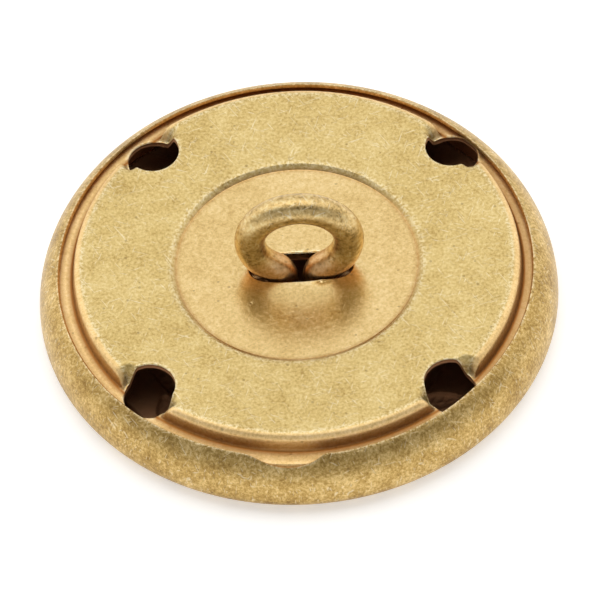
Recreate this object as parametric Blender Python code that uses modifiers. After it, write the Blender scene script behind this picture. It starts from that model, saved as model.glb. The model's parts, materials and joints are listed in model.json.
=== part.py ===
"""Sew-on shank button, lying face down: a rolled face shell, a stamped back plate and a loose wire loop.

Frame: Z runs up the button's axis, away from its face, and the face's border stands on z = 0.
The loop's eye lies in the XZ plane, so a thread passes through it along Y.
"""

import math

import bmesh
import bpy
from mathutils import Matrix, Vector

MM = 0.001

# Overall sizes
OUTER_R = 12.70 * MM  # 40 ligne button, 25.4 mm across
LIP_TOP_Z = 3.18 * MM  # height of the rolled lip above the face
WIDEST_Z = 0.94 * MM  # height at which the rim is widest

# Face shell
SHELL_SHEET = 0.30 * MM
LIP_WIDTH = 1.08 * MM  # from the rim's widest point in to the lip's edge
ROLL_WIDTH = 1.71 * MM  # half-width of the ellipse that the rim's upper side is rolled to
UNDER_RIM_WIDTH = 1.37 * MM  # from the rim's widest point in to the face's border
BORDER_WIDTH = 0.75 * MM
FIELD_DEPTH = 0.35 * MM  # the wreath's ground lies this far above the border
STEP_WIDTH = 0.28 * MM
BOSS_R = 5.60 * MM  # plain flat centre of the face
STEM_HALF_WIDTH = 0.32 * MM
STEM_HEIGHT = 0.22 * MM
NOTCH_ANGLE = math.radians(266.2)
NOTCH_R = 2.60 * MM
NOTCH_DEPTH = 0.40 * MM
NOTCH_FLOOR = 0.70 * MM  # the notch is cut down to this far below the lip's top

# Wreath on the face
LEAF_PAIRS = 16
LEAF_WIDTH = 1.00 * MM
LEAF_RISE = 0.27 * MM
LEAF_SLANT = math.radians(38)
LEAF_MARGIN = 0.05 * MM  # leaf to the stem and to the field's edge
LEAF_SIDES = 8
LEAF_RINGS = 4

# Back plate
PLATE_SHEET = 0.30 * MM
PLATEAU_RISE = 0.55 * MM  # the flat ring stands this far above the lip
SHOULDER_WIDTH = 0.45 * MM  # from the flat ring's edge out to the wall's foot
SHOULDER_R = 0.33 * MM
SHOULDER_END_DEG = 11  # the rounded shoulder stops this far from upright
GROOVE_WIDTH = 0.47 * MM  # lip's edge to the plate's wall
FLANGE_DROP = 0.41 * MM  # lip's top to the flange
SKIRT_GAP = 0.10 * MM  # skirt to the shell's wall
SEAT_GAP = 0.06 * MM  # skirt's foot to the inside of the shell
RECESS_R = 5.93 * MM
RECESS_SLOPE = 0.25 * MM
RECESS_DEPTH = 0.21 * MM
VENTS = 4
VENT_R = 1.28 * MM
VENT_INSET = 0.79 * MM  # vent centres to the plate's wall, which the vents cut through
VENT_FIRST = math.radians(42.9)
PIERCE_X = 0.19 * MM  # the vents, the slot and the loop in it are a little off the plate's centre
PIERCE_Y = -0.16 * MM

# Wire loop
WIRE_R = 0.76 * MM
EYE_R = 1.65 * MM
EYE_BOTTOM_RISE = 0.46 * MM  # lowest point of the eye's circle above the recess floor
LEG_GAP = 0.34 * MM  # between the two legs where they are closest
NECK_INNER_R = 0.09 * MM  # inside radius of the bend from each leg to its foot
FOOT_REACH = 4.30 * MM
FOOT_GAP = 0.05 * MM  # feet to the underside of the recess floor
SLOT_SIDE_GAP = 0.12 * MM
SLOT_END_GAP = 0.32 * MM

# Fineness of the round stretches
TURN_STEPS = 48
RIM_POINTS = 9
CORNER_POINTS = 5
HOLE_SIDES = 32
SLOT_SIDES = 24
RING_POINTS = 22
BEND_POINTS = 9
WIRE_FINENESS = 4  # each quarter of the wire's round section has this many points between its ends
MERGE = 0.00001

COLLECTION = "sew_on_button"

# Places that follow from the sizes above
LIP_R = OUTER_R - LIP_WIDTH
BORDER_OUTER_R = OUTER_R - UNDER_RIM_WIDTH
BORDER_INNER_R = BORDER_OUTER_R - BORDER_WIDTH
FIELD_OUTER_R = BORDER_INNER_R - STEP_WIDTH
FIELD_INNER_R = BOSS_R + STEP_WIDTH
STEM_R = (FIELD_OUTER_R + FIELD_INNER_R) / 2
WALL_R = LIP_R - GROOVE_WIDTH
PLATEAU_R = WALL_R - SHOULDER_WIDTH
ROLL_R = OUTER_R - ROLL_WIDTH
ROLL_HEIGHT = (LIP_TOP_Z - WIDEST_Z) / math.sqrt(1 - ((LIP_R - ROLL_R) / ROLL_WIDTH) ** 2)
SKIRT_R = OUTER_R - SHELL_SHEET - SKIRT_GAP
PLATEAU_Z = LIP_TOP_Z + PLATEAU_RISE
FLOOR_Z = PLATEAU_Z - RECESS_DEPTH
FLANGE_Z = LIP_TOP_Z - FLANGE_DROP
RING_R = EYE_R + WIRE_R
RING_Z = FLOOR_Z + EYE_BOTTOM_RISE + EYE_R
FOOT_Z = FLOOR_Z - PLATE_SHEET - FOOT_GAP - WIRE_R


def clear_scene():
    for obj in list(bpy.data.objects):
        bpy.data.objects.remove(obj, do_unlink=True)


def new_collection(name):
    collection = bpy.data.collections.new(name)
    bpy.context.scene.collection.children.link(collection)
    return collection


def brass(name, colour, roughness):
    material = bpy.data.materials.new(name)
    material.use_nodes = True
    shader = material.node_tree.nodes["Principled BSDF"]
    shader.inputs["Base Color"].default_value = (*colour, 1.0)
    shader.inputs["Metallic"].default_value = 1.0
    shader.inputs["Roughness"].default_value = roughness
    return material


def add_object(name, data, collection):
    obj = bpy.data.objects.new(name, data)
    collection.objects.link(obj)
    return obj


def arc(centre, radius, start_deg, end_deg, count):
    """Points (r, z) on a round stretch of a profile, both ends included."""
    points = []
    for i in range(count):
        angle = math.radians(start_deg + (end_deg - start_deg) * i / (count - 1))
        points.append((centre[0] + radius * math.cos(angle), centre[1] + radius * math.sin(angle)))
    return points


def rolled_side(inset, top_z, count):
    """Points down the rim's rolled upper side, or a surface this far inside it, to its widest point."""
    width = ROLL_WIDTH - inset
    height = ROLL_HEIGHT - inset
    start = math.asin((top_z - WIDEST_Z) / height)
    points = []
    for i in range(count):
        angle = start * (1 - i / (count - 1))
        points.append((ROLL_R + width * math.cos(angle), WIDEST_Z + height * math.sin(angle)))
    return points


def under_rim(count):
    """The rim's lower side, from below the widest point in to the face's border."""
    points = []
    for i in range(1, count + 1):
        angle = math.pi / 2 * i / count
        across = (OUTER_R - BORDER_OUTER_R) * math.cos(angle)
        points.append((BORDER_OUTER_R + across, WIDEST_Z * (1 - math.sin(angle))))
    return points


def inside_height(radius):
    """Height of the shell's inner surface near its wall, below the widest point."""
    half_width = OUTER_R - SHELL_SHEET - BORDER_OUTER_R
    share = max(0.0, radius - BORDER_OUTER_R) / half_width
    return WIDEST_Z - (WIDEST_Z - SHELL_SHEET) * math.sqrt(1 - share * share)


def turned_sheet(name, profile, thickness, collection):
    """Metal sheet turned about Z. The profile is its outer side, from the top down."""
    mesh = bpy.data.meshes.new(name)
    vertices = [(r, 0.0, z) for r, z in profile]
    mesh.from_pydata(vertices, [(i, i + 1) for i in range(len(vertices) - 1)], [])
    obj = add_object(name, mesh, collection)
    screw = obj.modifiers.new("Turn", "SCREW")
    screw.steps = TURN_STEPS
    screw.render_steps = TURN_STEPS
    screw.use_merge_vertices = True
    screw.merge_threshold = MERGE
    sheet = obj.modifiers.new("Sheet", "SOLIDIFY")
    sheet.thickness = thickness
    sheet.offset = -1.0
    sheet.use_even_offset = True
    return obj


def add_cylinder(bm, radius, low, high, centre, segments):
    place = Matrix.Translation((centre[0], centre[1], (low + high) / 2))
    return bmesh.ops.create_cone(
        bm, cap_ends=True, segments=segments, radius1=radius, radius2=radius, depth=high - low, matrix=place
    )["verts"]


def tool_object(name, bm, collection):
    mesh = bpy.data.meshes.new(name)
    bm.to_mesh(mesh)
    bm.free()
    obj = add_object(name, mesh, collection)
    obj.hide_render = True
    obj.display_type = "WIRE"
    return obj


def apply_tool(obj, tool, operation):
    boolean = obj.modifiers.new(tool.name, "BOOLEAN")
    boolean.operation = operation
    boolean.solver = "EXACT"
    boolean.object = tool


def polar(radius, angle):
    return (radius * math.cos(angle), radius * math.sin(angle))


def shell_profile():
    stem = [
        (STEM_R + STEM_HALF_WIDTH, FIELD_DEPTH),
        (STEM_R, FIELD_DEPTH - STEM_HEIGHT),
        (STEM_R - STEM_HALF_WIDTH, FIELD_DEPTH),
    ]
    border_edge = [(BORDER_INNER_R, 0.0), (FIELD_OUTER_R, FIELD_DEPTH)]
    boss = [(FIELD_INNER_R, FIELD_DEPTH), (BOSS_R, 0.0), (0.0, 0.0)]
    side = rolled_side(0.0, LIP_TOP_Z, RIM_POINTS)
    return side + under_rim(CORNER_POINTS) + border_edge + stem + boss


def notch_tool(collection):
    reach = LIP_R + NOTCH_DEPTH
    bm = bmesh.new()
    low = LIP_TOP_Z - NOTCH_FLOOR
    high = LIP_TOP_Z + NOTCH_FLOOR
    add_cylinder(bm, NOTCH_R, low, high, polar(reach - NOTCH_R, NOTCH_ANGLE), HOLE_SIDES)
    return tool_object("lip_notch_tool", bm, collection)


def add_leaf(bm, radius, angle, slant, length):
    """One lens-shaped leaf lying on the field, its long side slanted from the tangent."""
    x, y = polar(radius, angle)
    turn = Matrix.Rotation(angle + math.pi / 2 + slant, 4, "Z")
    size = Matrix.Diagonal((length / 2, LEAF_WIDTH / 2, LEAF_RISE, 1.0))
    place = Matrix.Translation((x, y, FIELD_DEPTH)) @ turn @ size
    bmesh.ops.create_uvsphere(
        bm, u_segments=LEAF_SIDES, v_segments=LEAF_RINGS, radius=1.0, matrix=place
    )


def leaf_tool(collection):
    """Two rows of leaves, one on each side of the stem, each as wide as its half of the field."""
    row_width = FIELD_OUTER_R - STEM_R - STEM_HALF_WIDTH - 2 * LEAF_MARGIN
    length = (row_width - LEAF_WIDTH * math.cos(LEAF_SLANT) / 2) / math.sin(LEAF_SLANT)
    offset = STEM_HALF_WIDTH + LEAF_MARGIN + row_width / 2
    bm = bmesh.new()
    for i in range(LEAF_PAIRS):
        angle = 2 * math.pi * i / LEAF_PAIRS
        add_leaf(bm, STEM_R + offset, angle, -LEAF_SLANT, length)
        add_leaf(bm, STEM_R - offset, angle, LEAF_SLANT, length)
    return tool_object("leaf_relief_tool", bm, collection)


def make_face_shell(collection, tools):
    shell = turned_sheet("face_shell", shell_profile(), SHELL_SHEET, collection)
    shell.data.materials.append(brass("shell_brass", (0.62, 0.47, 0.20), 0.45))
    apply_tool(shell, notch_tool(tools), "DIFFERENCE")
    apply_tool(shell, leaf_tool(tools), "UNION")
    return shell


def plate_profile():
    recess = [(0.0, FLOOR_Z), (RECESS_R, FLOOR_Z), (RECESS_R + RECESS_SLOPE, PLATEAU_Z)]
    shoulder_centre = (PLATEAU_R, PLATEAU_Z - SHOULDER_R)
    shoulder = arc(shoulder_centre, SHOULDER_R, 90, SHOULDER_END_DEG, CORNER_POINTS)
    wall_foot = [(WALL_R, FLANGE_Z)]
    skirt = rolled_side(SHELL_SHEET + SKIRT_GAP, FLANGE_Z, RIM_POINTS)
    skirt_foot = [(SKIRT_R, inside_height(SKIRT_R) + SEAT_GAP)]
    return recess + shoulder + wall_foot + skirt + skirt_foot


def slot_half_length():
    """The ring's outer side at the height of the floor, with a gap."""
    drop = RING_Z - FLOOR_Z
    outer_r = RING_R + WIRE_R
    return math.sqrt(outer_r * outer_r - drop * drop) + SLOT_END_GAP


def plate_punch(collection):
    """The slot for the loop's legs and the ring of vents."""
    bm = bmesh.new()
    low = FLANGE_Z - 3 * PLATE_SHEET
    high = PLATEAU_Z + PLATE_SHEET
    for i in range(VENTS):
        x, y = polar(WALL_R - VENT_INSET, VENT_FIRST + 2 * math.pi * i / VENTS)
        add_cylinder(bm, VENT_R, low, high, (x + PIERCE_X, y + PIERCE_Y), HOLE_SIDES)
    slot_r = WIRE_R + SLOT_SIDE_GAP
    ends = add_cylinder(bm, slot_r, low, high, (0.0, 0.0), SLOT_SIDES)
    bmesh.ops.rotate(bm, verts=ends, matrix=Matrix.Rotation(math.pi / SLOT_SIDES, 3, "Z"))
    for vertex in ends:
        vertex.co.x += math.copysign(slot_half_length() - slot_r, vertex.co.x) + PIERCE_X
        vertex.co.y += PIERCE_Y
    return tool_object("plate_punch_tool", bm, collection)


def make_back_plate(collection, tools):
    plate = turned_sheet("back_plate", plate_profile(), PLATE_SHEET, collection)
    plate.data.materials.append(brass("plate_brass", (0.66, 0.50, 0.22), 0.40))
    apply_tool(plate, plate_punch(tools), "DIFFERENCE")
    return plate


def half_loop():
    """Centreline (x, z) of the right half, from the top of the ring down to the foot's end."""
    bend_r = WIRE_R + NECK_INNER_R
    bend_x = LEG_GAP / 2 + WIRE_R + bend_r
    reach = RING_R + bend_r
    bend_z = RING_Z - math.sqrt(reach * reach - bend_x * bend_x)
    meet_deg = math.degrees(math.atan2(bend_z - RING_Z, bend_x))
    across = Vector((FOOT_REACH - bend_x, FOOT_Z - bend_z))
    rise = math.atan2(across.y, across.x) + math.asin(bend_r / across.length)
    ring = arc((0.0, RING_Z), RING_R, 90, meet_deg, RING_POINTS)
    bend = arc((bend_x, bend_z), bend_r, meet_deg + 180, 270 + math.degrees(rise), BEND_POINTS)
    return ring + bend[1:] + [(FOOT_REACH, FOOT_Z)]


def make_shank_loop(collection):
    right = half_loop()
    path = [(-x, z) for x, z in reversed(right)] + right[1:]
    curve = bpy.data.curves.new("shank_loop", "CURVE")
    curve.dimensions = "3D"
    curve.bevel_depth = WIRE_R
    curve.bevel_resolution = WIRE_FINENESS
    curve.use_fill_caps = True
    spline = curve.splines.new("POLY")
    spline.points.add(len(path) - 1)
    for point, (x, z) in zip(spline.points, path):
        point.co = (x, 0.0, z - FOOT_Z, 1.0)
    loop = add_object("shank_loop", curve, collection)
    loop.location = (PIERCE_X, PIERCE_Y, FOOT_Z)
    curve.materials.append(brass("wire_brass", (0.60, 0.46, 0.24), 0.42))
    return loop


def main():
    clear_scene()
    collection = new_collection(COLLECTION)
    tools = new_collection("tools")
    make_face_shell(collection, tools)
    make_back_plate(collection, tools)
    make_shank_loop(collection)


main()
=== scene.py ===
"""Looks of the sew-on shank button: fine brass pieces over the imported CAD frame, in a pale studio.

The row frame is the CAD's: the button lies face down on z = 0 and +Z runs towards its shank.
"""

import json
import math

import bpy
import numpy as np
from mathutils import Matrix, Vector
from mathutils.geometry import delaunay_2d_cdt


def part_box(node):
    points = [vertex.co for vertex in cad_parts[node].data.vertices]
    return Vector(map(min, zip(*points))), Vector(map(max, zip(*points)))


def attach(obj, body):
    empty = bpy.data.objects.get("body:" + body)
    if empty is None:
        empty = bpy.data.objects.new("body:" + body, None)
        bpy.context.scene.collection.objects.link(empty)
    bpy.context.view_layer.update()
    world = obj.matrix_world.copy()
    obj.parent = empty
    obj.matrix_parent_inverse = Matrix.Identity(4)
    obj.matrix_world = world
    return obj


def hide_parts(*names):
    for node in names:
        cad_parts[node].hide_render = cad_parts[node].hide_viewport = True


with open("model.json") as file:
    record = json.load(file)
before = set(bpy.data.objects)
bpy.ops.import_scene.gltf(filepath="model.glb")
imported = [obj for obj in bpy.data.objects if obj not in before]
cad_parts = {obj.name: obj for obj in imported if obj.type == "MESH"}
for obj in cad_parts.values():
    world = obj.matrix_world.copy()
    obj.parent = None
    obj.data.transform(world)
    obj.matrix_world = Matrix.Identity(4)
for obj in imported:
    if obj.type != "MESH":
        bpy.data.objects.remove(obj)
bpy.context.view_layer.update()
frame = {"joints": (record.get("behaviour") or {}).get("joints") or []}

MM = 0.001
FAR = 1.0  # metres: further than anything on the button

# ---- Sizes that the frame gives ----
SHELL_LOW, SHELL_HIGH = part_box("face_shell")
PLATE_LOW, PLATE_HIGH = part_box("back_plate")
LOOP_LOW, LOOP_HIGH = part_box("shank_loop")
HINGE = Vector(frame["joints"][0]["pos_m"])
OUTER_R = (SHELL_HIGH.x - SHELL_LOW.x) / 2
LIP_TOP_Z = SHELL_HIGH.z
PLATEAU_Z = PLATE_HIGH.z
SKIRT_R = (PLATE_HIGH.x - PLATE_LOW.x) / 2
SKIRT_LOW_Z = PLATE_LOW.z
FOOT_REACH = (LOOP_HIGH.x - LOOP_LOW.x) / 2
WIRE_R = (LOOP_HIGH.y - LOOP_LOW.y) / 2

# ---- Face shell ----
SHELL_POINTS = 720  # points on each ring of the shell
SHEET = 0.30 * MM
LIP_SHEET = 0.17 * MM  # the sheet thins towards its rolled edge
WIDEST_Z = 0.94 * MM
LIP_R = OUTER_R - 1.08 * MM
ROLL_WIDTH = 1.71 * MM
ROLL_R = OUTER_R - ROLL_WIDTH
ROLL_HEIGHT = (LIP_TOP_Z - WIDEST_Z) / math.sqrt(1 - ((LIP_R - ROLL_R) / ROLL_WIDTH) ** 2)
BORDER_OUTER_R = OUTER_R - 1.37 * MM
BORDER_INNER_R = BORDER_OUTER_R - 0.75 * MM
FIELD_DEPTH = 0.35 * MM
STEP_WIDTH = 0.28 * MM
BOSS_R = 5.60 * MM
FIELD_OUTER_R = BORDER_INNER_R - STEP_WIDTH
FIELD_INNER_R = BOSS_R + STEP_WIDTH
STEM_R = (FIELD_OUTER_R + FIELD_INNER_R) / 2
STEM_HALF_WIDTH = 0.32 * MM
STEM_HEIGHT = 0.22 * MM
STEM_TWISTS = 96
RELIEF_REST = 0.03 * MM  # the wreath stays this far inside the plane of the face
EDGE_BULGE = 0.35  # how far the sheet's cut edge bulges, against half its thickness
LIP_WEAR = 0.6
CREST_WEAR = 0.35
INNER_DETAIL = 0.75  # how much of the wreath shows on the inside of the sheet

LIP_SHIFT = 0.10 * MM  # the rolled lip is this far off the rim's centre
LIP_SHIFT_ANGLE = math.radians(180)
# how many waves go round the lip's edge, their height and phase
LIP_WAVES = ((2, 0.020 * MM, 0.7), (5, 0.014 * MM, 2.1), (9, 0.008 * MM, 4.0))
NOTCH_ANGLE = math.radians(266.2)
NOTCH_DEPTH = 0.42 * MM
NOTCH_R = 3.10 * MM
NOTCH_SOFT = 0.035 * MM  # how far its corners are rounded
NOTCH_SOFTER = 2.2  # the left corner is this much rounder
HUMP_HEIGHT = 0.07 * MM  # the lip swells beside the notch
HUMP_PLACE = 1.75 * MM
HUMP_WIDTH = 0.34 * MM

LEAF_PAIRS = 16
LEAF_LENGTH = 2.27 * MM
LEAF_WIDTH = 1.00 * MM
LEAF_RISE = 0.27 * MM
LEAF_SLANT = math.radians(38)
LEAF_OFFSET = 1.265 * MM  # leaf rows either side of the stem

# ---- Back plate ----
PLATE_SHEET = 0.30 * MM
PROFILE_STEP = 0.20 * MM
TOP_SPACING = 0.20 * MM
UNDER_SPACING = 0.35 * MM
HOLE_MARGIN = 0.35  # share of the spacing that is kept clear beyond the rings round a hole
TOP_HOLE_RINGS = np.array([0, 0.008, 0.02, 0.04, 0.07, 0.11, 0.16]) * MM
UNDER_HOLE_RINGS = np.array([0.0, 0.1]) * MM
VENT_POINTS = 144
SLOT_POINTS = 120
RIM_POINTS = 480
CDT_SCALE = 1000.0  # the triangulation works in millimetres
DARK_AFTER = 0.12  # share of an edge's depth at which the painted shade on its inside starts
SLOT_DARK_AFTER = 0.85
FLOOR_Z = PLATEAU_Z - 0.21 * MM
FLANGE_Z = LIP_TOP_Z - 0.41 * MM
RECESS_R = 5.93 * MM
RECESS_SLOPE = 0.25 * MM
FLANGE_START_R = LIP_R - 0.45 * MM
WALL_LEAN = math.radians(5)
WALL_FILLET = 0.20 * MM
SHOULDER_R = 0.36 * MM
UNDER_FILLETS = [0.03 * MM, 0.03 * MM, 0.05 * MM, 0.05 * MM, 0.05 * MM]
FLANGE_FILLET = 0.12 * MM
SKIRT_FILLET = 0.02 * MM
SKIRT_THINNING = 0.75  # share of its thickness that the skirt has lost at the lip
TO_CORNER = math.tan((math.pi / 2 - WALL_LEAN) / 2)  # from a fillet's end to its corner, per unit of radius
WALL_FOOT_R = FLANGE_START_R - WALL_FILLET * TO_CORNER
WALL_TOP_R = WALL_FOOT_R - (PLATEAU_Z - FLANGE_Z) * math.tan(WALL_LEAN)
PLATEAU_R = WALL_TOP_R - SHOULDER_R * TO_CORNER
RECESS_FILLET = 0.09 * MM
SKIRT_INSET = OUTER_R - SKIRT_R
CRIMP = 0.06 * MM  # the gap inside the rolled rim closes by this much towards the lip
VENTS = 4
VENT_R = 1.28 * MM
VENT_PITCH_R = 10.36 * MM
VENT_FIRST = math.radians(42.9)
TUCK_R = LIP_R - 0.02 * MM
TUCK = 0.25  # the vents are squeezed to this under the lip, where they can't be seen
PUNCH_ROUND = 0.07 * MM  # the punched edges are drawn in over this width
PUNCH_DRAW = 0.8  # share of that width by which the edge itself is drawn in
VENT_SAG = 0.95  # beside the vents the shoulder is drawn down by this share of its height over the flange
VENT_SAG_WIDTH = 0.30 * MM
SAG_START_R = 9.95 * MM
BURR_HEIGHT = 0.10 * MM
BURR_PLACE = 1.05 * MM
BURR_LENGTH = 0.55 * MM
BURR_WIDTH = 0.22 * MM

# ---- Wire loop ----
EYE_R = 1.65 * MM
RING_R = EYE_R + WIRE_R
RING_Z = LOOP_HIGH.z - RING_R - WIRE_R
LEG_GAP = 0.34 * MM
NECK_INNER_R = 0.09 * MM
SLOT_SIDE_GAP = 0.135 * MM
SLOT_END_GAP = 0.18 * MM
SLOT_HALF_WIDTH = WIRE_R + SLOT_SIDE_GAP
SLOT_HALF_LENGTH = math.sqrt((RING_R + WIRE_R) ** 2 - (RING_Z - FLOOR_Z) ** 2) + SLOT_END_GAP
SLOT_POWERS = (4.5, 2.0)  # of x and y in the outline, which leave an even gap round the loop
SLOT_NEARER = 0.8  # off the slot's axes the distance along the ray is too long; this much of it is used
COLLAR_DEPTH = 0.25 * MM  # the punching drew the slot's edge down by this much
COLLAR_WIDTH = 0.16 * MM
RIGHT_LEG_SHIFT = 0.12 * MM  # the right leg bends in closer to the middle by this much
WIRE_SIDES = 56
WIRE_WAVER = 0.006  # share of its radius by which the wire's thickness varies
RING_POINTS = 90
BEND_POINTS = 28
FOOT_POINTS = 12
END_EDGE = 0.85  # the wire's cut ends have a rim of this share of its radius
# Below this the loop's legs get painted shade, full at DARK_DEPTH further down, where the plate hides them.
DARK_FROM_Z = FLOOR_Z - 0.55 * MM
DARK_DEPTH = 0.60 * MM
CLEAN_FROM_Z = FLOOR_Z + 1.60 * MM
CLEAN_DEPTH = 1.20 * MM

# ---- Camera and room ----
CAMERA_AZIMUTH = math.radians(-88.8)
CAMERA_ELEVATION = math.radians(51.45)
CAMERA_ROLL = math.radians(-3.63)
CAMERA_DISTANCE = 950 * MM
VIEW_WIDTH = 29.3 * MM
SENSOR = 36.0
AIM_RIGHT = -0.039 * MM
AIM_UP = -1.753 * MM
FLOOR_HALF = 0.6
FLOOR_DROP = 0.02 * MM  # the floor stays clear of the face

# the room's bright areas: azimuth, elevation, outer and inner angle from the middle (degrees), added light
LOBES = (
    (155, 30, 34, 12, 0.32),
    (25, 33, 32, 12, 0.25),
    (90, 84, 30, 10, 0.9),
)
FRONT_LIGHT = 0.58
BACK_LIGHT = 1.0
FRONT_Y, BACK_Y = -0.9, 0.6  # the room's light changes between these
GAP_ELEVATION = 61
GAP_HALF_WIDTH = 0.17
GAP_FADE = 1.6  # the gap has faded out at this much of its half width
GAP_LOW_Z, GAP_FULL_Z = 0.3, 0.6
GAP_DEPTH = 0.65
FLOOR_GLOW = 0.4
SOFTBOX_DISTANCE = 0.5
SOFTBOX_SIZE = 0.25


# ================= Mesh helpers =================


def smooth(x):
    """0 below 0, 1 above 1, and an even slope between."""
    x = np.clip(x, 0.0, 1.0)
    return x * x * (3 - 2 * x)


def bump(x, width):
    return np.exp(-((x / width) ** 2))


def make_object(name, vertices, faces, masks):
    """A smooth-shaded object. masks is {name: one number per vertex}, for the material to read."""
    mesh = bpy.data.meshes.new(name)
    mesh.from_pydata(vertices.tolist(), [], [list(map(int, f)) for f in faces])
    mesh.polygons.foreach_set("use_smooth", np.ones(len(mesh.polygons), bool))
    for mask, values in masks.items():
        layer = mesh.attributes.new(mask, "FLOAT", "POINT")
        layer.data.foreach_set("value", np.asarray(values, np.float32))
    mesh.update()
    obj = bpy.data.objects.new(name, mesh)
    bpy.context.scene.collection.objects.link(obj)
    return obj


def grid_faces(rows, columns, first=0):
    """Quads between neighbouring closed rings of points, row after row."""
    i = np.arange(rows - 1)[:, None] * columns
    j = np.arange(columns)[None, :]
    k = (j + 1) % columns
    quads = np.stack([i + j, i + k, i + columns + k, i + columns + j], axis=-1)
    return (quads.reshape(-1, 4) + first).tolist()


def fan_faces(centre, ring, flip):
    turned = np.roll(ring, -1)
    pairs = zip(ring, turned)
    return [(centre, b, a) if flip else (centre, a, b) for a, b in pairs]


# ================= Face shell =================


def lip_edge_radius(theta):
    shifted = LIP_R + LIP_SHIFT * np.cos(theta - LIP_SHIFT_ANGLE)
    for count, height, phase in LIP_WAVES:
        shifted = shifted + height * np.sin(count * theta + phase)
    along = np.angle(np.exp(1j * (theta - NOTCH_ANGLE))) * LIP_R
    depth = NOTCH_DEPTH - along * along / 2 * (1 / NOTCH_R - 1 / LIP_R)
    soft = np.where(along < 0, NOTCH_SOFTER * NOTCH_SOFT, NOTCH_SOFT)
    notch = soft * np.logaddexp(0.0, np.clip(depth / soft, -60, 60))
    return shifted + notch - HUMP_HEIGHT * bump(along - HUMP_PLACE, HUMP_WIDTH)


def lip_sheet(share):
    """Thickness of the sheet this far along the rolled side, from the widest point to the lip's edge."""
    return SHEET + (LIP_SHEET - SHEET) * smooth(share * 1.2)


def rolled(phi, width, height, inset):
    """Points (r, z) on the rim's ellipse, this far inside it, with the outward normal."""
    normal = np.stack([np.cos(phi) / width, np.sin(phi) / height])
    normal = normal / np.linalg.norm(normal, axis=0)
    centre_r = OUTER_R - width
    r = centre_r + width * np.cos(phi) - inset * normal[0]
    z = WIDEST_Z + height * np.sin(phi) - inset * normal[1]
    return r, z, normal


def leaf_height(u, v):
    """Height of one leaf, 0 to 1 and a little over, at u along it and v across it, both from -1 to 1."""
    t = np.clip((u + 1) / 2, 0.0, 1.0)
    outline = np.sin(math.pi * t**0.85) ** 0.8
    across = np.abs(v) / np.maximum(outline, 1e-6)
    inside = (across < 1) & (outline > 1e-3)
    dome = np.sqrt(np.clip(1 - across**2, 0, 1)) ** 0.8
    rib = 0.20 * bump(v, 0.07)
    veins = 0.07 * np.cos(2 * math.pi * (4.5 * t - 0.9 * np.abs(v)))
    return np.where(inside, np.minimum(dome, 3 * outline) * (0.86 + veins) - rib * dome, 0.0)


def wreath_relief(r, theta):
    """How far the wreath rises out of the field at each point of the face, in metres."""
    relief = STEM_HEIGHT * np.sqrt(np.clip(1 - ((r - STEM_R) / STEM_HALF_WIDTH) ** 2, 0, 1))
    relief = relief * (0.88 + 0.12 * np.cos(theta * STEM_TWISTS + (r - STEM_R) / STEM_HALF_WIDTH * 1.6))
    x, y = r * np.cos(theta), r * np.sin(theta)
    for i in range(LEAF_PAIRS):
        angle = 2 * math.pi * i / LEAF_PAIRS
        for side in (1, -1):
            place_r = STEM_R + side * LEAF_OFFSET
            dx = x - place_r * math.cos(angle)
            dy = y - place_r * math.sin(angle)
            turn = angle + math.pi / 2 - side * LEAF_SLANT
            u = (dx * math.cos(turn) + dy * math.sin(turn)) / (LEAF_LENGTH / 2)
            v = (dy * math.cos(turn) - dx * math.sin(turn)) / (LEAF_WIDTH / 2)
            near = (np.abs(u) < 1) & (np.abs(v) < 1)
            relief = np.where(near, np.maximum(relief, LEAF_RISE * leaf_height(u, v)), relief)
    return relief


def face_height(r, theta, detail):
    """Height of the face's outer surface above z = 0."""
    down = smooth((BORDER_INNER_R - r) / STEP_WIDTH) * smooth((r - BOSS_R) / STEP_WIDTH)
    field = FIELD_DEPTH * down
    return np.maximum(field - wreath_relief(r, theta) * detail * down, RELIEF_REST * down)


def face_radii():
    border = np.linspace(BORDER_OUTER_R, BORDER_INNER_R, 6)
    outer_step = np.linspace(BORDER_INNER_R, FIELD_OUTER_R, 7)[1:]
    field = np.linspace(FIELD_OUTER_R, FIELD_INNER_R, 66)[1:]
    inner_step = np.linspace(FIELD_INNER_R, BOSS_R, 7)[1:]
    boss = np.array([0.97, 0.85, 0.65, 0.42, 0.2, 0.06]) * BOSS_R
    return np.concatenate([border[1:], outer_step, field, inner_step, boss])


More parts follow.
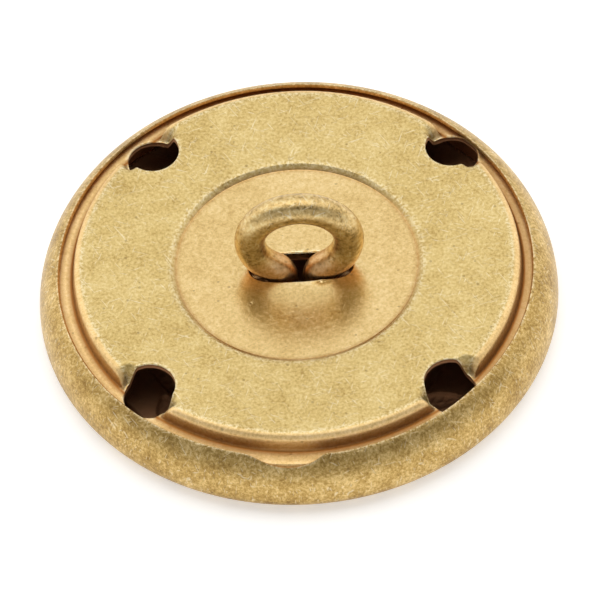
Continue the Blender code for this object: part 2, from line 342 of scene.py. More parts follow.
def make_shell():
    count = SHELL_POINTS
    theta = np.linspace(0, 2 * math.pi, count, endpoint=False)
    ones = np.ones(count)
    lower_width = OUTER_R - BORDER_OUTER_R
    half = LIP_SHEET / 2
    lip_phi = np.arccos((lip_edge_radius(theta) + EDGE_BULGE * half - ROLL_R) / ROLL_WIDTH)
    rows = []
    wear = []
    inside = []
    clean = []

    def add(r, z, worn, within, smoothed=0.0):
        rows.append(np.stack([r * np.cos(theta), r * np.sin(theta), z * ones], axis=-1))
        wear.append(worn * ones)
        inside.append(within * ones)
        clean.append(smoothed * ones)

    for radius in face_radii()[::-1]:
        r = radius * ones
        z = face_height(r, theta, 1.0)
        crest = CREST_WEAR * smooth((FIELD_DEPTH - z) / FIELD_DEPTH * 1.6 - 0.5)
        add(r, z, crest, 0.0)
    for phi in np.linspace(-math.pi / 2, 0, 16)[:-1]:
        r, z, _ = rolled(phi * ones, lower_width, WIDEST_Z, 0.0)
        add(r, z, 0.0, 0.0)
    for share in np.linspace(0, 1, 30):
        r, z, normal = rolled(share * lip_phi, ROLL_WIDTH, ROLL_HEIGHT, 0.0)
        add(r, z, LIP_WEAR * float(smooth((share - 0.95) / 0.05)), 0.0)
    along = np.stack([-normal[1], normal[0]])
    for turn in np.linspace(0, math.pi, 14)[1:-1]:
        out = half * (np.cos(turn) - 1)
        ahead = half * EDGE_BULGE * np.sin(turn) ** 0.5
        r_edge = r + out * normal[0] + ahead * along[0]
        z_edge = z + out * normal[1] + ahead * along[1]
        add(r_edge, z_edge, LIP_WEAR * float(smooth(1 - turn / 1.1)), 0.0, float(smooth(turn / 0.9)))
    # From here on the sheet's inner side: its inside mask is painted shade, rising from the lip's edge
    # inwards.
    for share in np.linspace(1, 0, 16):
        r, z, _ = rolled(share * lip_phi, ROLL_WIDTH, ROLL_HEIGHT, lip_sheet(share))
        add(r, z, 0.0, float(smooth((1 - share) / 0.3)), 1.0)
    for phi in np.linspace(0, -math.pi / 2, 10)[1:]:
        r, z, _ = rolled(phi * ones, lower_width, WIDEST_Z, SHEET)
        add(r, z, 0.0, 1.0)
    for radius in face_radii():
        r = radius * ones
        add(r, face_height(r, theta, INNER_DETAIL) + SHEET, 0.0, 1.0)
    total = len(rows)
    vertices = np.concatenate([np.concatenate(rows), [[0, 0, 0], [0, 0, SHEET]]])
    faces = grid_faces(total, count)
    low, high = total * count, total * count + 1
    faces += fan_faces(low, np.arange(count), True)
    faces += fan_faces(high, np.arange(count) + (total - 1) * count, False)
    masks = {
        "wear": np.concatenate([*wear, [0, 0]]),
        "inside": np.concatenate([*inside, [0, 1]]),
        "clean": np.concatenate([*clean, [0, 0]]),
    }
    return make_object("face_shell_brass", vertices, faces, masks)


# ================= Back plate =================


def fillet_chain(corners, radii, step):
    """Points on a chain of straight runs with rounded corners."""
    points = [np.array(corners[0])]
    for before, corner, after, radius in zip(corners, corners[1:], corners[2:], radii):
        a = np.array(before) - corner
        b = np.array(after) - corner
        a = a / np.linalg.norm(a)
        b = b / np.linalg.norm(b)
        angle = math.acos(float(np.clip(a @ b, -1, 1)))
        back = radius / math.tan(angle / 2)
        middle = (a + b) / np.linalg.norm(a + b)
        centre = corner + middle * radius / math.sin(angle / 2)
        start, end = corner + a * back - centre, corner + b * back - centre
        turn = math.atan2(start[0] * end[1] - start[1] * end[0], start @ end)
        for t in np.linspace(0, turn, 7):
            c, s = math.cos(t), math.sin(t)
            points.append(centre + np.array([c * start[0] - s * start[1], s * start[0] + c * start[1]]))
    points.append(np.array(corners[-1]))
    dense = [points[0]]
    for p in points[1:]:
        parts = max(1, math.ceil(np.linalg.norm(p - dense[-1]) / step))
        base = dense[-1]
        dense += [base + (p - base) * (k + 1) / parts for k in range(parts)]
    return np.array(dense)


def skirt_points(level, sheet):
    """Corners from the flange's outer end down the skirt, which follows the rolled rim from inside."""
    lip_phi = math.acos((LIP_R - ROLL_R) / ROLL_WIDTH)
    share = np.linspace(0, 1, 200)
    inset = SKIRT_INSET - SHEET + lip_sheet(share) - CRIMP * share + sheet * (1 - SKIRT_THINNING * share)
    r, z, _ = rolled(share * lip_phi, ROLL_WIDTH, ROLL_HEIGHT, inset)
    heights = np.linspace(level, z[0], 7)
    return list(zip(np.interp(heights, z, r), heights))


def plate_profile(sheet):
    """(r, z) points of one side of the plate, from the centre out.

    sheet is 0 for the upper side, and the thickness for the lower one.
    """
    slope = math.atan2(PLATEAU_Z - FLOOR_Z, RECESS_SLOPE)
    shift = sheet * math.tan(slope / 2)
    wall_shift = sheet * TO_CORNER
    corners = [
        (0.0, FLOOR_Z - sheet),
        (RECESS_R - shift, FLOOR_Z - sheet),
        (RECESS_R + RECESS_SLOPE - shift, PLATEAU_Z - sheet),
        (WALL_TOP_R - wall_shift, PLATEAU_Z - sheet),
        (WALL_FOOT_R - wall_shift, FLANGE_Z - sheet),
    ]
    skirt = skirt_points(FLANGE_Z - sheet, sheet)
    if sheet:
        radii = list(UNDER_FILLETS)
    else:
        radii = [RECESS_FILLET, RECESS_FILLET, SHOULDER_R, WALL_FILLET, FLANGE_FILLET]
    radii += [SKIRT_FILLET] * (len(skirt) - 1)
    return fillet_chain([*corners, *skirt, (SKIRT_R - sheet, SKIRT_LOW_Z)], radii, PROFILE_STEP)


class Lathe:
    """A profile turned about Z, unrolled so that its length along the profile is a radius in a flat disc."""

    def __init__(self, profile):
        self.profile = profile
        steps = np.linalg.norm(np.diff(profile, axis=0), axis=1)
        self.length = np.concatenate([[0], np.cumsum(steps)])
        slope = np.gradient(profile, self.length, axis=0)
        self.normal = np.stack([-slope[:, 1], slope[:, 0]], axis=-1)
        self.normal /= np.linalg.norm(self.normal, axis=1)[:, None]

    def unroll(self, x, y):
        """Flat-disc points for points of the plan."""
        r = np.hypot(x, y)
        rising = np.maximum.accumulate(self.profile[:, 0] + np.arange(len(self.profile)) * 1e-12)
        s = np.interp(r, rising, self.length)
        share = s / np.maximum(r, 1e-9)
        return np.stack([x * share, y * share], axis=-1)

    def lift(self, flat):
        """Points and normals in space for points of the flat disc."""
        s = np.hypot(flat[:, 0], flat[:, 1])
        c, d = flat[:, 0] / np.maximum(s, 1e-12), flat[:, 1] / np.maximum(s, 1e-12)
        r = np.interp(s, self.length, self.profile[:, 0])
        z = np.interp(s, self.length, self.profile[:, 1])
        nr = np.interp(s, self.length, self.normal[:, 0])
        nz = np.interp(s, self.length, self.normal[:, 1])
        return np.stack([r * c, r * d, z], axis=-1), np.stack([nr * c, nr * d, nz], axis=-1)


def vent_places():
    places = []
    for i in range(VENTS):
        angle = VENT_FIRST + 2 * math.pi * i / VENTS
        x = HINGE.x + VENT_PITCH_R * math.cos(angle)
        y = HINGE.y + VENT_PITCH_R * math.sin(angle)
        places.append((x, y))
    return places


def stretched(x, y, share):
    """The points, with those beyond TUCK_R brought to this share of their distance beyond it."""
    r = np.hypot(x, y)
    scale = (r + np.maximum(r - TUCK_R, 0) * (share - 1)) / np.maximum(r, 1e-9)
    return x * scale, y * scale


def vent_loop(place, grow):
    angle = np.linspace(0, 2 * math.pi, VENT_POINTS, endpoint=False)
    radius = VENT_R + grow
    return stretched(place[0] + radius * np.cos(angle), place[1] + radius * np.sin(angle), TUCK)


def slot_outline(grow):
    """Points round the slot, this much bigger than it, evenly spaced."""
    turn = np.linspace(0, 2 * math.pi, 4001)
    powers = np.array(SLOT_POWERS)
    x = (SLOT_HALF_LENGTH + grow) * np.sign(np.cos(turn)) * np.abs(np.cos(turn)) ** (2 / powers[0])
    y = (SLOT_HALF_WIDTH + grow) * np.sign(np.sin(turn)) * np.abs(np.sin(turn)) ** (2 / powers[1])
    run = np.concatenate([[0], np.cumsum(np.hypot(np.diff(x), np.diff(y)))])
    even = np.linspace(0, run[-1], SLOT_POINTS, endpoint=False)
    return HINGE.x + np.interp(even, run, x), HINGE.y + np.interp(even, run, y)


def slot_distance(x, y):
    """About the distance in plan from the slot's edge; negative inside it."""
    p, q = SLOT_POWERS
    u = np.abs(x - HINGE.x) / SLOT_HALF_LENGTH
    v = np.abs(y - HINGE.y) / SLOT_HALF_WIDTH
    level = u**p + v**q
    size = level ** (1 / ((p * u**p + q * v**q) / np.maximum(level, 1e-9)))
    reach = np.hypot(x - HINGE.x, y - HINGE.y)
    return reach * (1 - 1 / np.maximum(size, 1e-6)) * SLOT_NEARER


def vent_distance(x, y):
    x, y = stretched(x, y, 1 / TUCK)
    nearest = np.full(x.shape, FAR)
    for px, py in vent_places():
        nearest = np.minimum(nearest, np.hypot(x - px, y - py) - VENT_R)
    return nearest


def hole_distance(x, y):
    """Distance in plan from each point to the nearest hole's edge; negative inside a hole."""
    return np.minimum(vent_distance(x, y), slot_distance(x, y))


def hole_loops(grow):
    """Outlines of the vents and, last, the slot, this much bigger than they are."""
    return [vent_loop(place, grow) for place in vent_places()] + [slot_outline(grow)]


def sag(x, y):
    """Share of its height over the flange that the plate loses here, beside the vents."""
    near = bump(np.maximum(vent_distance(x, y), 0), VENT_SAG_WIDTH)
    return VENT_SAG * near * smooth((np.hypot(x, y) - SAG_START_R) / (PLATEAU_R - SAG_START_R))


def meshed_side(lathe, grows, spacing):
    """One side of the plate with its holes open.

    Returns its flat points, its triangles, and the point numbers round each hole and round its rim.
    """
    points = []
    edges = []
    holes = []
    for depth, grow in enumerate(grows):
        for x, y in hole_loops(grow):
            flat = lathe.unroll(x, y)
            first = len(points)
            points += flat.tolist()
            numbers = list(range(first, first + len(flat)))
            edges += list(zip(numbers, numbers[1:] + numbers[:1]))
            if depth == 0:
                holes.append(numbers)
    clear = grows[-1] + spacing * HOLE_MARGIN
    rim = []
    last = lathe.length[-1]
    for s, r in zip(lathe.length, lathe.profile[:, 0]):
        count = max(6, min(RIM_POINTS, 6 * round(2 * math.pi * max(r, 1e-6) / spacing / 6)))
        if s == last:
            count = RIM_POINTS
        angle = np.linspace(0, 2 * math.pi, count, endpoint=False)
        keep = hole_distance(r * np.cos(angle), r * np.sin(angle)) > clear
        first = len(points)
        ring = np.stack([s * np.cos(angle), s * np.sin(angle)], axis=-1)[keep]
        points += ring.tolist()
        if s == last:
            rim = list(range(first, first + len(ring)))
            edges += list(zip(rim, rim[1:] + rim[:1]))
    flat = [Vector((x * CDT_SCALE, y * CDT_SCALE)) for x, y in points]
    made, _, triangles, origins, _, _ = delaunay_2d_cdt(flat, edges, [], 0, 1e-7, True)
    number = {}
    for new, olds in enumerate(origins):
        for old in olds:
            number[old] = new
    made = np.array([(p.x / CDT_SCALE, p.y / CDT_SCALE) for p in made])
    triangles = np.array([t for t in triangles if len(t) == 3])
    placed, _ = lathe.lift(made[triangles].mean(axis=1))
    open_area = hole_distance(placed[:, 0], placed[:, 1]) < 0
    holes = [[number[i] for i in loop] for loop in holes]
    return made, triangles[~open_area], holes, [number[i] for i in rim]


def burr(x, y):
    """Height of the small raised burr on the slot's near edge."""
    along = bump(x - BURR_PLACE - HINGE.x, BURR_LENGTH)
    out = np.where(y < HINGE.y, slot_distance(x, y), FAR)
    ragged = 0.8 + 0.2 * np.sin(x * 21000) * np.sin(x * 9000 + 1.0)
    near = np.where(out > -0.05 * MM, bump(out, BURR_WIDTH), 0.0)
    return BURR_HEIGHT * along * near * ragged


def oriented(vertices, triangles, up):
    """The triangles, turned where needed so that they all face up, or all down."""
    corner = vertices[triangles]
    normal = np.cross(corner[:, 1] - corner[:, 0], corner[:, 2] - corner[:, 0])
    wrong = (normal[:, 2] < 0) == up
    turned = triangles.copy()
    turned[wrong] = turned[wrong][:, ::-1]
    return turned


def plate_masks(vertices, radius, distance):
    """Masks of the upper side, whose points lie this far from the middle and from the nearest hole."""
    shoulder = bump(radius - PLATEAU_R + 0.03 * MM, 0.09 * MM)
    recess_edge = bump(radius - RECESS_R - RECESS_SLOPE, 0.12 * MM)
    worn = np.maximum(0.7 * shoulder, 0.55 * recess_edge)
    worn = np.maximum(worn, 0.8 * smooth(1 - distance / (0.20 * MM)))
    angle = np.arctan2(vertices[:, 1], vertices[:, 0])
    to_lip = lip_edge_radius(angle) - radius
    in_notch = bump(np.angle(np.exp(1j * (angle - NOTCH_ANGLE))) * LIP_R, 1.6 * MM)
    # The lip's shadow on the flange beneath it is painted here. It is weaker in the notch, where the lip
    # doesn't overhang.
    lip_shadow = 0.62 * (1 - smooth(to_lip / (0.40 * MM))) * (1 - 0.85 * in_notch)
    # Painted shade in the corners, at the foot of the wall and at the foot of the recess.
    wall_foot_shade = bump(radius - WALL_FOOT_R - 0.09 * MM, 0.12 * MM)
    recess_foot_shade = 0.45 * bump(radius - RECESS_R, 0.06 * MM)
    return {
        "wear": worn,
        "inside": np.zeros(len(vertices)),
        "clean": smooth((radius - PLATEAU_R - 0.02 * MM) / (0.12 * MM)),
        "sunk": smooth((RECESS_R + 0.1 * MM - radius) / (0.15 * MM)),
        # Painted shade: the lip's shadow on the flange and the darker corners.
        "painted_shade": np.maximum(np.maximum(wall_foot_shade, lip_shadow), recess_foot_shade),
    }


def make_plate():
    top = Lathe(plate_profile(0.0))
    flat, triangles, holes, rim = meshed_side(top, TOP_HOLE_RINGS, TOP_SPACING)
    vertices, normals = top.lift(flat)
    x, y = vertices[:, 0], vertices[:, 1]
    radius = np.hypot(x, y)
    distance = hole_distance(x, y)
    into = np.clip(1 - distance / PUNCH_ROUND, 0, 1)
    drop = PUNCH_ROUND * (1 - np.sqrt(1 - into**2)) * PUNCH_DRAW
    vertices = vertices - normals * drop[:, None]
    vertices[:, 2] -= sag(x, y) * np.maximum(vertices[:, 2] - FLANGE_Z, 0)
    vertices[:, 2] += burr(x, y)

    under = Lathe(plate_profile(PLATE_SHEET))
    flat, under_triangles, under_holes, under_rim = meshed_side(under, UNDER_HOLE_RINGS, UNDER_SPACING)
    under_vertices, _ = under.lift(flat)
    x, y = under_vertices[:, 0], under_vertices[:, 1]
    under_vertices[:, 2] -= sag(x, y) * np.maximum(under_vertices[:, 2] - FLANGE_Z + PLATE_SHEET, 0)
    under_vertices[:, 2] -= COLLAR_DEPTH * bump(slot_distance(x, y), COLLAR_WIDTH)

    first = len(vertices)
    everything = np.concatenate([vertices, under_vertices])
    faces = oriented(vertices, triangles, True).tolist()
    faces += (oriented(under_vertices, under_triangles, False) + first).tolist()
    dark_rows = []
    slot = holes[-1]
    for upper, lower in zip([*holes, rim], [*under_holes, under_rim]):
        lower = [i + first for i in lower]
        edge = everything[upper]
        depth = SLOT_DARK_AFTER if upper is slot else DARK_AFTER
        inner = edge + (everything[lower] - edge) * depth
        start = len(everything) + sum(len(row) for row in dark_rows)
        dark_rows.append(inner)
        middle = list(range(start, start + len(inner)))
        for high, low in ((upper, middle), (middle, lower)):
            strip = list(zip(high, high[1:] + high[:1], low[1:] + low[:1], low))
            faces += strip if upper is rim else [q[::-1] for q in strip]
    everything = np.concatenate([everything, *dark_rows])
    looks = plate_masks(vertices, radius, distance)
    hidden = np.zeros(len(everything) - first)
    masks = {name: np.concatenate([values, hidden]) for name, values in looks.items()}
    # The underside and the holes' walls below their first share get painted shade.
    masks["inside"][first:] = 1.0
    return make_object("back_plate_brass", everything, faces, masks)


# ================= Wire loop =================


def half_loop(shift):
    """Centreline (x, z) of half the loop, from the top of the ring down to the foot's end.

    Its leg stands this far nearer to the middle.
    """
    bend_r = WIRE_R + NECK_INNER_R
    bend_x = LEG_GAP / 2 - shift + WIRE_R + bend_r
    reach = RING_R + bend_r
    bend_z = RING_Z - math.sqrt(reach * reach - bend_x * bend_x)
    meet = math.atan2(bend_z - RING_Z, bend_x)
    foot = (FOOT_REACH, HINGE.z)
    run = math.hypot(foot[0] - bend_x, foot[1] - bend_z)
    rise = math.atan2(foot[1] - bend_z, foot[0] - bend_x) + math.asin(bend_r / run)
    points = []
    for angle in np.linspace(math.pi / 2, meet, RING_POINTS):
        points.append((RING_R * math.cos(angle), RING_Z + RING_R * math.sin(angle)))
    for angle in np.linspace(meet + math.pi, 1.5 * math.pi + rise, BEND_POINTS)[1:]:
        points.append((bend_x + bend_r * math.cos(angle), bend_z + bend_r * math.sin(angle)))
    start = np.array(points[-1])
    for share in np.linspace(0, 1, FOOT_POINTS)[1:]:
        points.append(tuple(start + (np.array(foot) - start) * share))
    return points


def make_loop():
    path = [(-x, z) for x, z in reversed(half_loop(0.0))]
    path = np.array(path + half_loop(RIGHT_LEG_SHIFT)[1:])
    step = np.gradient(path, axis=0)
    step /= np.linalg.norm(step, axis=1)[:, None]
    around = np.linspace(0, 2 * math.pi, WIRE_SIDES, endpoint=False)
    rows = []
    for i, ((x, z), (dx, dz)) in enumerate(zip(path, step)):
        out = np.stack([-dz * np.cos(around), np.sin(around), dx * np.cos(around)], axis=-1)
        size = WIRE_R * (1 - WIRE_WAVER + WIRE_WAVER * math.sin(i * 0.21) * math.cos(i * 0.077))
        rows.append(np.array([x, 0.0, z]) + out * size)
    ends = [row.mean(axis=0) for row in (rows[0], rows[-1])]
    cut = [end + (row - end) * END_EDGE for end, row in zip(ends, (rows[0], rows[-1]))]
    rows = [cut[0], *rows, cut[1]]
    vertices = np.concatenate([*rows, ends]) + np.array([HINGE.x, HINGE.y, 0.0])
    total = len(rows) * WIRE_SIDES
    ring = np.arange(WIRE_SIDES)
    faces = grid_faces(len(rows), WIRE_SIDES)
    faces += fan_faces(total, ring, True)
    faces += fan_faces(total + 1, ring + total - WIRE_SIDES, False)
    height = vertices[:, 2]
    masks = {
        "wear": np.zeros(len(vertices)),
        # painted shade on the legs below the plate
        "inside": smooth((DARK_FROM_Z - height) / DARK_DEPTH),
        "clean": smooth((CLEAN_FROM_Z - height) / CLEAN_DEPTH),
    }
    return make_object("shank_loop_brass", vertices, faces, masks)


# ================= Materials =================


class Nodes:
    """Short calls for building one node tree."""

    def __init__(self, tree):
        self.tree = tree
        tree.nodes.clear()

    def new(self, kind, **settings):
        node = self.tree.nodes.new(kind)
        for name, value in settings.items():
            setattr(node, name, value)
        return node

    def put(self, socket, value):
        if isinstance(value, bpy.types.NodeSocket):
            self.tree.links.new(value, socket)
        else:
            socket.default_value = value

    def math(self, operation, a, b=0.0, clamp=False):
        node = self.new("ShaderNodeMath", operation=operation, use_clamp=clamp)
        self.put(node.inputs[0], a)
        self.put(node.inputs[1], b)
        return node.outputs[0]

    def ramp(self, value, low, high, to_low=0.0, to_high=1.0):
        node = self.new("ShaderNodeMapRange", interpolation_type="SMOOTHSTEP")
        self.put(node.inputs["Value"], value)
        node.inputs["From Min"].default_value = low
        node.inputs["From Max"].default_value = high
        node.inputs["To Min"].default_value = to_low
        node.inputs["To Max"].default_value = to_high
        return node.outputs["Result"]

    def mix(self, share, a, b):
        node = self.new("ShaderNodeMix", data_type="RGBA")
        self.put(node.inputs["Factor"], share)
        self.put(node.inputs["A"], a)
        self.put(node.inputs["B"], b)
        return node.outputs["Result"]

    def noise(self, place, size, detail, roughness=0.55):
        """Noise whose features are about this many metres across."""
        node = self.new("ShaderNodeTexNoise")
        self.put(node.inputs["Vector"], place)
        node.inputs["Scale"].default_value = 1 / size
        node.inputs["Detail"].default_value = detail
        node.inputs["Roughness"].default_value = roughness
        return node.outputs["Fac"]

    def mask(self, name):
        node = self.new("ShaderNodeAttribute", attribute_name=name)
        return node.outputs["Fac"]

    def streaks(self, place, angle, length, width, depth, low, high):
        """Thin bright strokes that run one way in plan."""
        turn = self.new("ShaderNodeMapping", vector_type="TEXTURE")
        self.put(turn.inputs["Vector"], place)
        turn.inputs["Rotation"].default_value = (0.0, 0.0, angle)
        turn.inputs["Scale"].default_value = (length, width, depth)
        node = self.new("ShaderNodeTexNoise")
        self.put(node.inputs["Vector"], turn.outputs["Vector"])
        node.inputs["Scale"].default_value = 1.0
        node.inputs["Detail"].default_value = 1.0
        return self.ramp(node.outputs["Fac"], low, high)


STROKES = ((0.35, 1.0), (1.25, 0.8), (2.15, 1.2), (2.80, 0.7))  # which way they run (radians) and length (mm)
STROKE_WIDTH = 0.075 * MM
STROKE_DEPTH = 0.5 * MM
BLOTCH_SIZE = 1.1 * MM
DRIFT_SIZE = 4.5 * MM
PIT_SPACING = 0.55 * MM


def colour(red, green, blue):
    return (red, green, blue, 1.0)


def brass(name, looks):
    """Tumbled antique brass: mottled, speckled and scratched, brighter where worn; painted shade darkens it
    inside and below the plate, under the lip and in the plate's corners.
    """
    material = bpy.data.materials.new(name)
    material.use_nodes = True
    nodes = Nodes(material.node_tree)
    place = nodes.new("ShaderNodeTexCoord").outputs["Object"]
    wear = nodes.mask("wear")
    inside = nodes.mask("inside")
    clean = nodes.mask("clean")
    sunk = nodes.mask("sunk")
    plain = nodes.math("MAXIMUM", clean, sunk)
    grain = nodes.noise(place, looks["grain"], 5.0, 0.72)
    blotch = nodes.noise(place, BLOTCH_SIZE, 4.0, 0.6)
    broad = nodes.noise(place, DRIFT_SIZE, 2.0)
    speckle = nodes.math("MULTIPLY", nodes.math("SUBTRACT", grain, 0.5), looks["speckle"])
    speckle = nodes.math("MULTIPLY", speckle, nodes.ramp(plain, 0.0, 1.0, 1.0, 0.7))
    tone = nodes.math("MULTIPLY", nodes.math("SUBTRACT", blotch, 0.5), looks["mottle"])
    tone = nodes.math("MULTIPLY", tone, nodes.ramp(plain, 0.0, 1.0, 1.0, 0.5))
    drift = nodes.math("MULTIPLY", nodes.math("SUBTRACT", broad, 0.5), 0.3)
    tone = nodes.math("ADD", nodes.math("ADD", tone, speckle), drift)
    tone = nodes.math("ADD", tone, 0.5, clamp=True)
    steps = nodes.new("ShaderNodeValToRGB")
    nodes.put(steps.inputs["Fac"], tone)
    ramp = steps.color_ramp
    ramp.elements[0].position, ramp.elements[0].color = 0.0, looks["deep"]
    ramp.elements[1].position, ramp.elements[1].color = 1.0, looks["pale"]
    ramp.elements.new(0.5).color = looks["mid"]
    tint = nodes.mix(clean, colour(1.0, 1.0, 1.0), looks["clean"])
    tint = nodes.mix(sunk, tint, looks["sunk"])
    base = nodes.new("ShaderNodeMix", data_type="RGBA", blend_type="MULTIPLY")
    base.inputs["Factor"].default_value = 1.0
    nodes.put(base.inputs["A"], steps.outputs["Color"])
    nodes.put(base.inputs["B"], tint)
    base = base.outputs["Result"]

    pits = nodes.new("ShaderNodeTexVoronoi")
    nodes.put(pits.inputs["Vector"], place)
    pits.inputs["Scale"].default_value = 1 / PIT_SPACING
    few = nodes.new("ShaderNodeSeparateColor")
    nodes.put(few.inputs["Color"], pits.outputs["Color"])
    dot = nodes.ramp(pits.outputs["Distance"], 0.10, 0.16, 1.0, 0.0)
    dot = nodes.math("MULTIPLY", dot, nodes.ramp(few.outputs["Red"], 0.70, 0.75))
    base = nodes.mix(nodes.math("MULTIPLY", dot, 0.45), base, looks["pit"])

    marks = None
    for turn, length in STROKES:
        stroke = nodes.streaks(place, turn, length * MM, STROKE_WIDTH, STROKE_DEPTH, 0.69, 0.74)
        marks = stroke if marks is None else nodes.math("MAXIMUM", marks, stroke)
    marks = nodes.math("MULTIPLY", marks, nodes.ramp(plain, 0.0, 1.0, 1.0, 0.25))
    base = nodes.mix(nodes.math("MULTIPLY", marks, looks["strokes"]), base, looks["bright"])
    rubbed = nodes.math("MULTIPLY", wear, nodes.ramp(grain, 0.42, 0.58))
    base = nodes.mix(nodes.math("MULTIPLY", rubbed, 0.75), base, looks["bright"])
    # Painted shade: the lip's shadow on the flange and the darker feet of the wall and the recess.
    base = nodes.mix(nodes.math("MULTIPLY", nodes.mask("painted_shade"), 0.95), base, looks["painted_shade"])
    # Painted shade inside: the sheets' inner sides, the holes' walls and the loop below the plate.
    base = nodes.mix(inside, base, looks["inside"])

    rough = nodes.math("MULTIPLY", nodes.math("SUBTRACT", grain, 0.5), 0.22)
    rough = nodes.math("ADD", rough, nodes.ramp(clean, 0.0, 1.0, looks["rough"], looks["clean_rough"]))
    rough = nodes.math("SUBTRACT", rough, nodes.math("MULTIPLY", sunk, looks["sunk_polish"]))
    rough = nodes.math("ADD", rough, nodes.math("MULTIPLY", inside, 0.25), clamp=True)

    height = nodes.math("MULTIPLY", grain, nodes.ramp(plain, 0.0, 1.0, 1.0, 0.4))
    height = nodes.math("SUBTRACT", height, nodes.math("MULTIPLY", marks, 0.35))
    height = nodes.math("SUBTRACT", height, nodes.math("MULTIPLY", dot, 0.4))
    relief = nodes.new("ShaderNodeBump")
    nodes.put(relief.inputs["Height"], height)
    relief.inputs["Distance"].default_value = looks["bump"]
    relief.inputs["Strength"].default_value = 1.0

    shader = nodes.new("ShaderNodeBsdfPrincipled")
    nodes.put(shader.inputs["Base Color"], base)
    nodes.put(shader.inputs["Roughness"], rough)
    nodes.put(shader.inputs["Normal"], relief.outputs["Normal"])
    shader.inputs["Metallic"].default_value = 1.0
    output = nodes.new("ShaderNodeOutputMaterial")
    nodes.put(output.inputs["Surface"], shader.outputs["BSDF"])
    return material


BASE_LOOKS = {
    "grain": 0.15 * MM,
    "speckle": 2.1,
    "mottle": 0.7,
    "strokes": 0.42,
    "deep": colour(0.39, 0.25, 0.073),
    "mid": colour(0.65, 0.485, 0.193),
    "pale": colour(0.82, 0.67, 0.35),
    "clean": colour(1.33, 1.26, 1.42),
    "sunk": colour(1.18, 1.14, 1.23),
    "pit": colour(0.22, 0.15, 0.06),
    "bright": colour(0.95, 0.86, 0.62),
    # Colour of the painted shade inside the sheets, the holes and below the plate.
    "inside": colour(0.50, 0.26, 0.13),
    # Colour of the painted shade under the lip and in the plate's corners.
    "painted_shade": colour(0.34, 0.12, 0.018),
    "rough": 0.44,
    "clean_rough": 0.48,
    "sunk_polish": 0.22,
    "bump": 0.014 * MM,
}
# The shell's brass is darker and browner than the plate's. This is partly its own aged tone and partly
# painted shade for the rim's front, which faces the shaded floor.
SHELL_LOOKS = {
    **BASE_LOOKS,
    "mottle": 1.2,
    "speckle": 2.5,
    "strokes": 0.35,
    "deep": colour(0.27, 0.155, 0.042),
    "mid": colour(0.51, 0.335, 0.108),
    "pale": colour(0.79, 0.58, 0.26),
    "rough": 0.36,
}
LOOP_LOOKS = {
    **BASE_LOOKS,
    "grain": 0.22 * MM,
    "speckle": 2.9,
    "deep": colour(0.28, 0.18, 0.06),
    "mid": colour(0.67, 0.465, 0.19),
    "clean": colour(1.0, 0.83, 0.86),
    "rough": 0.32,
    "clean_rough": 0.34,
}


# ================= Room =================


def make_camera():
    flat = Vector((math.cos(CAMERA_AZIMUTH), math.sin(CAMERA_AZIMUTH), 0))
    up_z = Vector((0, 0, 1))
    back = flat * math.cos(CAMERA_ELEVATION) + up_z * math.sin(CAMERA_ELEVATION)
    level = up_z.cross(flat)
    rise = back.cross(level)
    right = level * math.cos(CAMERA_ROLL) + rise * math.sin(CAMERA_ROLL)
    up = rise * math.cos(CAMERA_ROLL) - level * math.sin(CAMERA_ROLL)
    target = Vector((HINGE.x, HINGE.y, PLATEAU_Z)) + right * AIM_RIGHT + up * AIM_UP
    data = bpy.data.cameras.new("camera")
    data.sensor_width = SENSOR
    data.lens = SENSOR * CAMERA_DISTANCE / VIEW_WIDTH
    data.clip_start = 1 * MM
    data.clip_end = 10
    camera = bpy.data.objects.new("camera", data)
    turn = Matrix((right, up, back)).transposed().to_4x4()
    camera.matrix_world = Matrix.Translation(target + back * CAMERA_DISTANCE) @ turn
    bpy.context.scene.collection.objects.link(camera)
    bpy.context.scene.camera = camera


def make_floor():
    mesh = bpy.data.meshes.new("floor")
    corners = [(x * FLOOR_HALF, y * FLOOR_HALF, -FLOOR_DROP) for x, y in ((-1, -1), (1, -1), (1, 1), (-1, 1))]
    mesh.from_pydata(corners, [], [(0, 1, 2, 3)])
    floor = bpy.data.objects.new("floor", mesh)
    bpy.context.scene.collection.objects.link(floor)
    material = bpy.data.materials.new("floor_paper")
    material.use_nodes = True
    nodes = Nodes(material.node_tree)
    place = nodes.new("ShaderNodeTexCoord").outputs["Object"]
    fibre = nodes.noise(place, 0.8 * MM, 3.0)
    tint = nodes.mix(fibre, colour(0.90, 0.90, 0.90), colour(0.94, 0.94, 0.94))
    shader = nodes.new("ShaderNodeBsdfPrincipled")
    nodes.put(shader.inputs["Base Color"], tint)
    shader.inputs["Roughness"].default_value = 0.9
    shader.inputs["Specular IOR Level"].default_value = 0.1
    shader.inputs["Emission Color"].default_value = colour(1.0, 1.0, 1.0)
    shader.inputs["Emission Strength"].default_value = FLOOR_GLOW
    output = nodes.new("ShaderNodeOutputMaterial")
    nodes.put(output.inputs["Surface"], shader.outputs["BSDF"])
    mesh.materials.append(material)


def direction(azimuth_deg, elevation_deg):
    """Azimuth 0 is +X and 90 is +Y, away from the camera."""
    a, e = math.radians(azimuth_deg), math.radians(elevation_deg)
    return (math.cos(a) * math.cos(e), math.sin(a) * math.cos(e), math.sin(e))


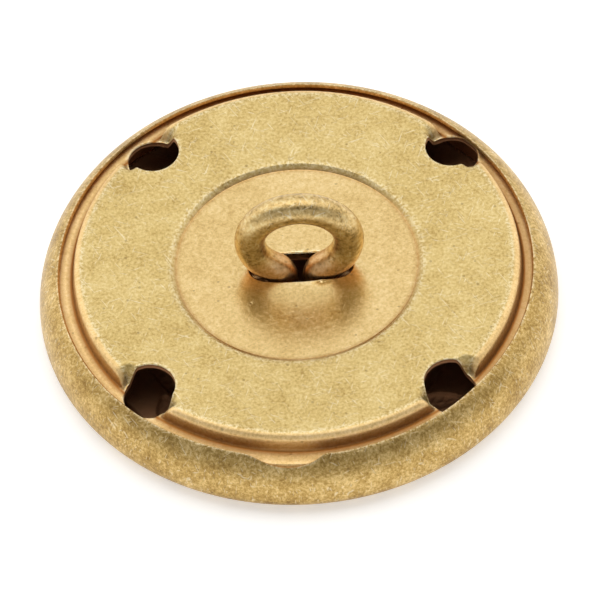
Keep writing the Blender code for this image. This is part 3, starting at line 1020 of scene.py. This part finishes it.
def make_world():
    world = bpy.data.worlds.new("studio")
    bpy.context.scene.world = world
    world.use_nodes = True
    nodes = Nodes(world.node_tree)
    look = nodes.new("ShaderNodeTexCoord").outputs["Generated"]
    split = nodes.new("ShaderNodeSeparateXYZ")
    nodes.put(split.inputs["Vector"], look)
    total = nodes.ramp(split.outputs["Y"], FRONT_Y, BACK_Y, FRONT_LIGHT, BACK_LIGHT)
    for azimuth, elevation, wide, narrow, strength in LOBES:
        dot = nodes.new("ShaderNodeVectorMath", operation="DOT_PRODUCT")
        nodes.put(dot.inputs[0], look)
        dot.inputs[1].default_value = direction(azimuth, elevation)
        edge, middle = math.cos(math.radians(wide)), math.cos(math.radians(narrow))
        total = nodes.math("ADD", total, nodes.ramp(dot.outputs["Value"], edge, middle, 0.0, strength))
    # The darker gap between the lights is a band from left to right, at GAP_ELEVATION on the camera's side.
    lean = math.radians(GAP_ELEVATION)
    across = nodes.math("MULTIPLY", split.outputs["Y"], math.sin(lean))
    rise = nodes.math("MULTIPLY", split.outputs["Z"], math.cos(lean))
    off = nodes.math("ABSOLUTE", nodes.math("ADD", across, rise))
    upper = nodes.ramp(split.outputs["Z"], GAP_LOW_Z, GAP_FULL_Z)
    band = nodes.ramp(off, GAP_HALF_WIDTH, GAP_HALF_WIDTH * GAP_FADE, 1.0, 0.0)
    dark = nodes.math("MULTIPLY", nodes.math("MULTIPLY", band, upper), GAP_DEPTH)
    total = nodes.math("MULTIPLY", total, nodes.math("SUBTRACT", 1.0, dark))
    background = nodes.new("ShaderNodeBackground")
    background.inputs["Color"].default_value = colour(1.0, 0.995, 0.98)
    nodes.put(background.inputs["Strength"], total)
    output = nodes.new("ShaderNodeOutputWorld")
    nodes.put(output.inputs["Surface"], background.outputs["Background"])


def add_softbox(name, azimuth, elevation, power):
    data = bpy.data.lights.new(name, "AREA")
    data.shape = "RECTANGLE"
    data.size = data.size_y = SOFTBOX_SIZE
    data.energy = power
    lamp = bpy.data.objects.new(name, data)
    away = Vector(direction(azimuth, elevation))
    lamp.location = away * SOFTBOX_DISTANCE
    lamp.rotation_mode = "QUATERNION"
    lamp.rotation_quaternion = away.to_track_quat("Z", "Y")
    bpy.context.scene.collection.objects.link(lamp)


def finish_piece(obj, body, node, material):
    obj.data.materials.append(material)
    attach(obj, body)
    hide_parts(node)


def main():
    scene = bpy.context.scene
    scene.view_settings.view_transform = "Standard"
    make_camera()
    make_floor()
    make_world()
    add_softbox("softbox_left", 160, 55, 0.08)
    add_softbox("softbox_right", 20, 50, 0.06)
    shell = make_shell()
    plate = make_plate()
    loop = make_loop()
    finish_piece(shell, "case", "face_shell", brass("shell_brass_look", SHELL_LOOKS))
    finish_piece(plate, "case", "back_plate", brass("plate_brass_look", BASE_LOOKS))
    finish_piece(loop, "loop", "shank_loop", brass("wire_brass_look", LOOP_LOOKS))


main()
